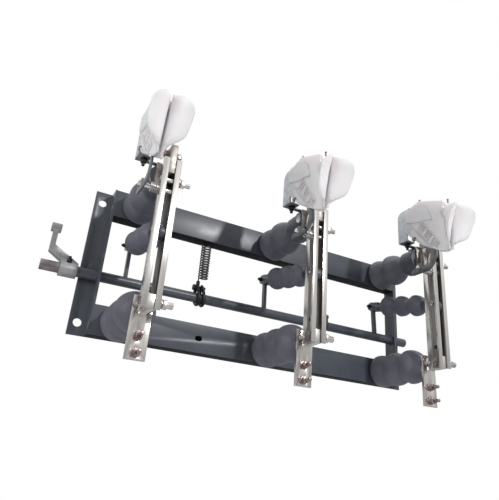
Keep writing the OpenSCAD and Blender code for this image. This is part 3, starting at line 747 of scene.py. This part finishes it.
def petal_point(s, t, w):
    """Point of a petal: s from seam to edge, t from bottom to top, w from its inner to its outer face."""
    edge, root = along_edge(t), SEAM[0].lerp(SEAM[1], t)
    hollow = math.sin(math.pi * s) * math.sin(math.pi * t) * PETAL_HOLLOW
    inner = root.lerp(edge, s) - Vector((hollow, -0.5 * hollow, 0))
    ridge = ridge_forward(root.z)
    side = Vector((CHUTE_HALF * narrowing(ridge, root.z) - PETAL_LAP, ridge, root.z))
    outer = side.lerp(edge + PETAL_OUT, s)
    return inner.lerp(outer, w)


def chute_petal(name, centre, hinge_y, side):
    """One petal of a chute, shaped from a cube cut into many faces."""
    bpy.ops.object.select_all(action="DESELECT")
    bpy.ops.mesh.primitive_cube_add(size=2)
    petal = bpy.context.view_layer.objects.active
    edit_all(petal)
    bpy.ops.mesh.subdivide(number_cuts=PETAL_CUTS)
    bpy.ops.object.mode_set(mode="OBJECT")
    for vertex in petal.data.vertices:
        s, t, w = ((c + 1) / 2 for c in vertex.co)
        across, forward, height = petal_point(s, t, w)
        vertex.co = (centre + side * across, hinge_y - forward, height)
    edit_all(petal)
    bpy.ops.mesh.remove_doubles(threshold=0.05 * MM)
    bpy.ops.mesh.normals_make_consistent(inside=False)
    bpy.ops.object.mode_set(mode="OBJECT")
    return dress(petal, name, "frame", MILKY, CHUTE_SMOOTH)


# Raised block and rear cheek on a chute's side: in front of the hinge, height
BLOCK = ((-18, 293), (-18, 317), (-9, 321), (30, 315), (43, 301), (51, 276), (33, 281), (14, 283))
BLOCK_PROUD, BLOCK_ROOT, BLOCK_EDGE = 2.2 * MM, 8.4 * MM, 2 * MM
CHEEK = ((-6, 262), (-13, 265.5), (-22, 279), (-18, 300), (-6, 300))
CHEEK_SUNK, CHEEK_ROOT, CHEEK_EDGE = 1.8 * MM, 8.3 * MM, 0.8 * MM
# Windows: the row's middle and length, the frame bars beside it and the thin bars across it
WINDOW_MID, WINDOW_SLANT, WINDOW_ROW = Vector((36, 249)), math.radians(35), 71
LONG = Vector((-math.sin(WINDOW_SLANT), math.cos(WINDOW_SLANT)))
ACROSS = Vector((math.cos(WINDOW_SLANT), math.sin(WINDOW_SLANT)))
WINDOW_HALF, WINDOW_CORNER, WINDOW_BARS = 9.6, 6, (-3.8, 0, 3.8)
# Ribs: their ends in front of the hinge and in height, their widths, and how far they stand out
LOWER_RAIL = (((-20, 281), (-12, 267.5)), ((-13, 267.5), (20, 236.5)), ((20, 236.5), (57, 215)))
BRACE_TOP, BRACE_FOOT = (-6, 283.5), (32, 235)
RAIL_WIDTH, BRACE_WIDTH, FRAME_WIDTH, BAR_WIDTH = 3 * MM, 1.6 * MM, 2.2 * MM, 1.1 * MM
RIB_ROOT, RIB_TOP, BAR_ROOT, BAR_TOP, RIB_EDGE = 10.5 * MM, 12.4 * MM, 5.6 * MM, 9.2 * MM, 0.5 * MM
# Screws along a chute's top, in front of the hinge and in height, and the bolt in its side
TOP_SCREWS, TOP_SCREW_OFF = ((87, 301), (18, 329), (-12, 322)), 8 * MM
SHANK_RADIUS, SHANK_LENGTH, CAP_RADIUS, CAP_HEIGHT, CAP_RISE = 1.5 * MM, 8 * MM, 2.0 * MM, 2.4 * MM, 1.6 * MM
SIDE_BOLT, SIDE_BOLT_OFF, SIDE_BOLT_AHEAD, SIDE_BOLT_HEIGHT = 4.4 * MM, 11 * MM, 2 * MM, 252 * MM


def side_rib(centre, hinge_y, side, start, end, width, inner, outer):
    """Straight rib on a chute's side between two points, given in millimetres as ahead and height."""
    start = Vector((0, hinge_y - start[0] * MM, start[1] * MM))
    end = Vector((0, hinge_y - end[0] * MM, end[1] * MM))
    run = end - start
    spot = (start + end) / 2 + RIGHT * (centre + side * (inner + outer) / 2)
    bpy.ops.object.select_all(action="DESELECT")
    bpy.ops.mesh.primitive_cube_add(size=1, location=spot, rotation=(math.atan2(run.z, run.y), 0, 0),
                                    scale=(outer - inner, run.length, width))
    rib = bpy.context.view_layer.objects.active
    bpy.ops.object.transform_apply(location=True, rotation=True, scale=True)
    round_edges(rib, RIB_EDGE)
    return rib


def chute_ribs(centre, hinge_y, side):
    """Rails and window bars on one side of a chute."""
    top, bottom = WINDOW_MID + LONG * WINDOW_ROW / 2, WINDOW_MID - LONG * WINDOW_ROW / 2
    ribs = [side_rib(centre, hinge_y, side, start, end, RAIL_WIDTH, RIB_ROOT, CHUTE_HALF)
            for start, end in LOWER_RAIL]
    ribs.append(side_rib(centre, hinge_y, side, BRACE_TOP, BRACE_FOOT, BRACE_WIDTH, RIB_ROOT, RIB_TOP))
    for off, shorten in ((-WINDOW_HALF, WINDOW_CORNER), (WINDOW_HALF, 0)):
        foot = bottom + ACROSS * off + LONG * shorten
        ribs.append(side_rib(centre, hinge_y, side, top + ACROSS * off, foot, FRAME_WIDTH,
                             RIB_ROOT, RIB_TOP))
    for off in WINDOW_BARS:
        foot = bottom + ACROSS * off
        ribs.append(side_rib(centre, hinge_y, side, top + ACROSS * off, foot, BAR_WIDTH,
                             BAR_ROOT, BAR_TOP))
    return ribs


def chute_body(node, centre, hinge_y):
    """Slotted body of a chute, cut off behind its petals and narrowed towards its lower front corner."""
    body = merged_copy(node)
    cut_at(body, (0, hinge_y - BODY_FRONT, 0), FRONT, drop=True)
    cut_at(body, (0, hinge_y - TAPER_FROM, 0), FRONT)
    cut_at(body, (0, 0, TAPER_BELOW), UP)
    for vertex in body.data.vertices:
        across = vertex.co.x - centre
        if abs(across) > SLOT_WALL:
            vertex.co.x = centre + across * narrowing(hinge_y - vertex.co.y, vertex.co.z)
    softened(node, width=CHUTE_EDGE, segments=3, smooth=CHUTE_SMOOTH, piece=body)


def chute_side(pole, hand, side, centre, hinge_y):
    """Petal, ribs and raised block on one side of a chute."""
    chute_petal("petal_%s_%s" % (pole, hand), centre, hinge_y, side)
    dress(joined(chute_ribs(centre, hinge_y, side)), "chute_ribs_%s_%s" % (pole, hand), "frame",
          MILKY, CHUTE_SMOOTH)
    outline = [(hinge_y - f * MM, z * MM) for f, z in BLOCK]
    block = outline_plate(outline, centre + side * (CHUTE_HALF + BLOCK_PROUD), centre + side * BLOCK_ROOT,
                          BLOCK_EDGE)
    dress(block, "chute_block_%s_%s" % (pole, hand), "frame", MILKY, CHUTE_SMOOTH)


def chute_fittings(pole, centre, hinge_y):
    """Rear cheek, top screws and side bolt of a chute."""
    outline = [(hinge_y - f * MM, z * MM) for f, z in CHEEK]
    cheek = outline_plate(outline, centre - CHUTE_HALF + CHEEK_SUNK, centre - CHEEK_ROOT, CHEEK_EDGE)
    dress(cheek, "chute_cheek_" + pole, "frame", MILKY, CHUTE_SMOOTH)
    for k, (forward, height) in enumerate(TOP_SCREWS):
        spot = Vector((centre - TOP_SCREW_OFF, hinge_y - forward * MM, height * MM))
        screw = joined([stud(SHANK_RADIUS, SHANK_LENGTH, spot - UP * SHANK_LENGTH / 2, UP, 16, 0.4 * MM),
                        stud(CAP_RADIUS, CAP_HEIGHT, spot + UP * CAP_RISE, UP, 16, 0.9 * MM)])
        dress(screw, "chute_screw_%s_%d" % (pole, k), "frame", LEVER)
    seat = (centre - SIDE_BOLT_OFF, hinge_y - SIDE_BOLT_AHEAD, SIDE_BOLT_HEIGHT)
    bolt_head("chute_bolt_" + pole, seat, LEFT, SIDE_BOLT, "frame")


for pole in POLES:
    node = "arc_chute_" + pole
    low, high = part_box(node)
    hinge_y = joint_at["blade_%s_hinge" % pole].y
    centre = (low[0] + high[0]) / 2
    chute_body(node, centre, hinge_y)
    for side, hand in ((-1, "left"), (1, "right")):
        chute_side(pole, hand, side, centre, hinge_y)
    chute_fittings(pole, centre, hinge_y)


# Blades, contacts, terminals and arcing levers

BAR_OUT, WEB_OUT, WEB_SKIN, FLANGE_T = 14 * MM, 8.5 * MM, 0.3 * MM, 3 * MM
BLADE_EDGE, PLATE_EDGE, CONTACT_EDGE, ARC_EDGE = 0.7 * MM, 0.6 * MM, 0.8 * MM, 0.5 * MM
LEVER_TIP_FROM, HEEL_BEHIND = 226 * MM, 4 * MM
COIL_RADIUS, COIL_WIRE, COIL_TURNS, COIL_BEND = 6.4 * MM, 1.3 * MM, 6, 2 * MM
# Coil spring's ends: the arm's way out, its two points from the axle, and the foot behind
ARM_START = FRONT * 3 * MM + LEFT * 2 * MM
ARM_BEND, ARM_END = Vector((0, -22, 8)) * MM, Vector((0, -27, 22)) * MM
FOOT_END, FOOT_BEND = REAR * 13 * MM + DOWN * 9 * MM, REAR * 3 * MM
# Fasteners: thread, and how far the bolt stands out of its nut
TERMINAL_T, TERMINAL_THREAD, TERMINAL_STAND_OUT = 5 * MM, 6.2 * MM, 12 * MM
POST_BOLT_OFF, POST_THREAD, POST_STAND_OUT = 10.6 * MM, 4.4 * MM, 5 * MM
PIN_THREAD, HINGE_STAND_OUT, CONTACT_STAND_OUT, HINGE_HEAD = 8 * MM, 9 * MM, 10 * MM, 7 * MM
SPARE_HOLE, WEB_SCREW = 26 * MM, 3.6 * MM
CONTACT_BOLT_UNDER = 18 * MM
CRANK_PIN_OUT, CRANK_THREAD, CRANK_STAND_OUT = 8.3 * MM, 4 * MM, 3 * MM
JAW_OUT, JAW_THREAD, JAW_STAND_OUT, JAW_BEHIND, JAW_UNDER = 5.2 * MM, 7.5 * MM, 3 * MM, 12 * MM, 9 * MM
STRAP_T, STRAP_THREAD, STRAP_STAND_OUT, STRAP_BOLT_IN = 3 * MM, 5.5 * MM, 6 * MM, 12 * MM


def blade_bars(pole, hinge):
    """Both bars of a blade, with painted shade on the webs in their hollows."""
    node = "main_blade_" + pole
    piece = softened(node, width=BLADE_EDGE)
    low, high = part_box(node)
    front_flange, rear_flange = low[1] + FLANGE_T, high[1] - FLANGE_T
    # Painted shade on the webs between the front and rear flanges.
    second_finish(piece, WEB_SHADE, lambda c, n: (abs(n.x) > FACING and front_flange < c.y < rear_flange
                                                 and abs(c.x - hinge.x) < WEB_OUT + WEB_SKIN))


def arcing_lever(pole, hinge):
    """Grey lever with a bright tip and a bare heel."""
    node = "arcing_lever_" + pole
    lever = merged_copy(node)
    cut_at(lever, (0, 0, LEVER_TIP_FROM), UP)
    softened(node, LEVER, ARC_EDGE, piece=lever)
    second_finish(lever, BRIGHT, lambda c, n: c.z > LEVER_TIP_FROM)
    second_finish(lever, BARE, lambda c, n: c.y > hinge.y + HEEL_BEHIND)


def torsion_spring(pole, hinge):
    """Coil on the arcing axle, with an arm to the lever and a foot behind."""
    node = "torsion_spring_" + pole
    low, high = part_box(node)
    axle = Vector((hinge.x, hinge.y, (low[2] + high[2]) / 2))
    coil = coil_path(Vector((high[0] - COIL_WIRE, axle.y, axle.z)), LEFT, UP, COIL_RADIUS,
                     high[0] - low[0] - 2 * COIL_WIRE, COIL_TURNS)
    beside = Vector((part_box("arcing_lever_" + pole)[1][0] + COIL_WIRE, axle.y, axle.z))
    arm = rounded_path([coil[-1], coil[-1] + ARM_START, beside + ARM_BEND, beside + ARM_END], COIL_BEND)
    foot = rounded_path([coil[0] + FOOT_END, coil[0] + FOOT_BEND, coil[0]], COIL_BEND)
    spring = dress(wire(foot[:-1] + coil + arm[1:], COIL_WIRE), "torsion_spring_%s_wire" % pole,
                   "blade_" + pole, BRIGHT, WIRE_SMOOTH)
    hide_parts(node)


def terminal_fasteners(pole, hinge):
    """Cable bolts of a lower terminal, and the nuts that hold it on its post."""
    bolts = mount_of["lower_terminal_%s_bolts" % pole]
    plate_front = bolts["pos_m"][1] - TERMINAL_T / 2
    pitch = bolts["dims"]["spacing_y_mm"] * MM
    for k, side in enumerate((-1, 1)):
        spot = Vector((hinge.x, plate_front, bolts["pos_m"][2] + side * pitch / 2))
        nut_stack("terminal_nut_%s_%d" % (pole, k), spot, FRONT, TERMINAL_THREAD, TERMINAL_STAND_OUT,
                  "frame", BROWN)
        bolt_head("terminal_bolt_%s_%d" % (pole, k), spot + REAR * TERMINAL_T, REAR, TERMINAL_THREAD,
                  "frame")
        seat = Vector((hinge.x + side * POST_BOLT_OFF, plate_front, hinge.z))
        nut_stack("post_nut_%s_%d" % (pole, k), seat, FRONT, POST_THREAD, POST_STAND_OUT, "frame")


def blade_fasteners(pole, hinge):
    """Hinge bolt, web screw and contact bolt of a blade, and the nut on its crank's pin."""
    blade = "blade_" + pole
    low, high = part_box("upper_insulator_" + pole)
    contact = Vector((hinge.x, hinge.y, (low[2] + high[2]) / 2 - CONTACT_BOLT_UNDER))
    crank_pin = joint_at["rod_%s_pivot" % pole]
    web = hinge + LEFT * WEB_OUT
    nut_stack("hinge_nut_" + pole, hinge + RIGHT * BAR_OUT, RIGHT, PIN_THREAD, HINGE_STAND_OUT, blade)
    bolt_head("hinge_bolt_" + pole, web, LEFT, HINGE_HEAD, blade)
    bolt_head("web_screw_" + pole, web + UP * SPARE_HOLE, LEFT, WEB_SCREW, blade, BLACK)
    nut_stack("contact_nut_" + pole, contact + RIGHT * BAR_OUT, RIGHT, PIN_THREAD, CONTACT_STAND_OUT, blade)
    nut_stack("crank_nut_" + pole, crank_pin + LEFT * CRANK_PIN_OUT, LEFT, CRANK_THREAD, CRANK_STAND_OUT,
              "rod_" + pole, BLACK)


def contact_fasteners(pole, hinge):
    """Bolt through the top of a fixed contact, and the one in the foot of the chute's strap."""
    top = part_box("upper_contact_" + pole)[1][2]
    jaw = Vector((hinge.x, hinge.y + JAW_BEHIND, top - JAW_UNDER))
    nut_stack("contact_top_nut_" + pole, jaw + RIGHT * JAW_OUT, RIGHT, JAW_THREAD, JAW_STAND_OUT,
              "frame", BROWN)
    bolt_head("contact_top_bolt_" + pole, jaw + LEFT * JAW_OUT, LEFT, JAW_THREAD, "frame")
    low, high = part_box("chute_strap_" + pole)
    foot = Vector((low[0] + STRAP_BOLT_IN, high[1] - STRAP_BOLT_IN, low[2]))
    nut_stack("foot_nut_" + pole, foot, DOWN, STRAP_THREAD, STRAP_STAND_OUT, "frame", BLACK)
    bolt_head("foot_bolt_" + pole, foot + UP * STRAP_T, UP, STRAP_THREAD, "frame", BLACK)


for pole in POLES:
    hinge = joint_at["blade_%s_hinge" % pole]
    blade_bars(pole, hinge)
    softened("lower_terminal_" + pole, width=PLATE_EDGE)
    softened("upper_contact_" + pole, DIRTY, CONTACT_EDGE)
    softened("chute_strap_" + pole, width=PLATE_EDGE)
    arcing_lever(pole, hinge)
    torsion_spring(pole, hinge)
    terminal_fasteners(pole, hinge)
    blade_fasteners(pole, hinge)
    contact_fasteners(pole, hinge)


# Stage, light and camera

MIDDLE = (0, -0.15, 0.13)
FLOOR_BELOW, FLOOR_WIDTH = 0.45, 2.6


def photo_camera():
    """Camera of the photograph: low, in front and to the left."""
    spot = Vector((-459.3, -871.9, -169.4)) * MM
    turn_x, turn_y, turn_z = -0.449, -0.422, 0.276
    focal_px, centre_x, centre_y, frame_px = 515.057, 5.0, -9.747, 500
    tilt = Matrix.Rotation(turn_y, 3, "Y") @ Matrix.Rotation(turn_x, 3, "X")
    axes = Matrix.Rotation(turn_z, 3, "Z") @ tilt @ Matrix(((1, 0, 0), (0, 0, -1), (0, 1, 0)))
    right, down, forward = axes[0], axes[1], axes[2]
    data = bpy.data.cameras.new("photo_camera")
    data.sensor_width = 36
    data.lens = focal_px * data.sensor_width / frame_px
    data.shift_x = -centre_x / frame_px
    data.shift_y = centre_y / frame_px
    data.clip_start = 0.01
    camera = bpy.data.objects.new("photo_camera", data)
    bpy.context.scene.collection.objects.link(camera)
    camera.matrix_world = Matrix((
        (right.x, -down.x, -forward.x, spot.x),
        (right.y, -down.y, -forward.y, spot.y),
        (right.z, -down.z, -forward.z, spot.z),
        (0, 0, 0, 1)))
    bpy.context.scene.camera = camera


def pale_floor(height, width):
    """Plain pale floor below the part."""
    bpy.ops.object.select_all(action="DESELECT")
    bpy.ops.mesh.primitive_plane_add(size=width, location=(0, 0, height))
    floor = bpy.context.view_layer.objects.active
    floor.name = "floor"
    finish, tree, shader, where = new_finish("pale_floor")
    tint(tree, shader, speckle(tree, where, 3), (0.80, 0.80, 0.80), (0.84, 0.84, 0.84))
    shader.inputs["Roughness"].default_value = 0.8
    floor.data.materials.append(finish)


def soft_light(name, spot, size, power):
    """One square lamp that points at the middle of the part."""
    data = bpy.data.lights.new(name, "AREA")
    data.size = size
    data.energy = power
    lamp = bpy.data.objects.new(name, data)
    bpy.context.scene.collection.objects.link(lamp)
    lamp.location = spot
    lamp.rotation_euler = (Vector(MIDDLE) - Vector(spot)).to_track_quat("-Z", "Y").to_euler()


def white_surround(ambient, shine, underfoot):
    """World that is white to the camera and a soft fill elsewhere, paler above than below.

    Matt surfaces see it at the ambient strength, and shiny ones at the shine's.
    """
    world = bpy.data.worlds.new("white_surround")
    bpy.context.scene.world = world
    world.use_nodes = True
    tree = world.node_tree

    def sum_of(kind, *values):
        node = tree.nodes.new("ShaderNodeMath")
        node.operation = kind
        for socket, value in zip(node.inputs, values):
            if isinstance(value, (int, float)):
                socket.default_value = value
            else:
                tree.links.new(value, socket)
        return node.outputs[0]

    sky = tree.nodes["Background"]
    sky.inputs["Color"].default_value = (1, 1, 1, 1)
    path = tree.nodes.new("ShaderNodeLightPath")
    where = tree.nodes.new("ShaderNodeTexCoord")
    split = tree.nodes.new("ShaderNodeSeparateXYZ")
    tree.links.new(where.outputs["Generated"], split.inputs["Vector"])
    grade = tree.nodes.new("ShaderNodeMapRange")
    grade.inputs["From Min"].default_value = -0.5
    grade.inputs["From Max"].default_value = 0.4
    grade.inputs["To Min"].default_value = underfoot
    tree.links.new(split.outputs["Z"], grade.inputs["Value"])
    shiny = sum_of("MAXIMUM", path.outputs["Is Glossy Ray"], path.outputs["Is Transmission Ray"])
    mirrored = sum_of("MULTIPLY", grade.outputs["Result"], shine)
    matt = sum_of("MULTIPLY", grade.outputs["Result"], ambient)
    seen = sum_of("ADD", sum_of("MULTIPLY", mirrored, shiny),
                  sum_of("MULTIPLY", matt, sum_of("SUBTRACT", 1.0, shiny)))
    tree.links.new(sum_of("MAXIMUM", seen, path.outputs["Is Camera Ray"]), sky.inputs["Strength"])


photo_camera()
pale_floor(cad_box[0][2] - FLOOR_BELOW, FLOOR_WIDTH)
soft_light("key_lamp", spot=(0.5, -2.08, 1.06), size=0.10, power=28)
soft_light("left_lamp", spot=(-1.9, -0.8, 0.4), size=1.2, power=15)
soft_light("top_lamp", spot=(0.2, 0.1, 1.9), size=1.5, power=6)
white_surround(ambient=0.41, shine=0.88, underfoot=0.2)
bpy.context.scene.view_settings.view_transform = "Standard"
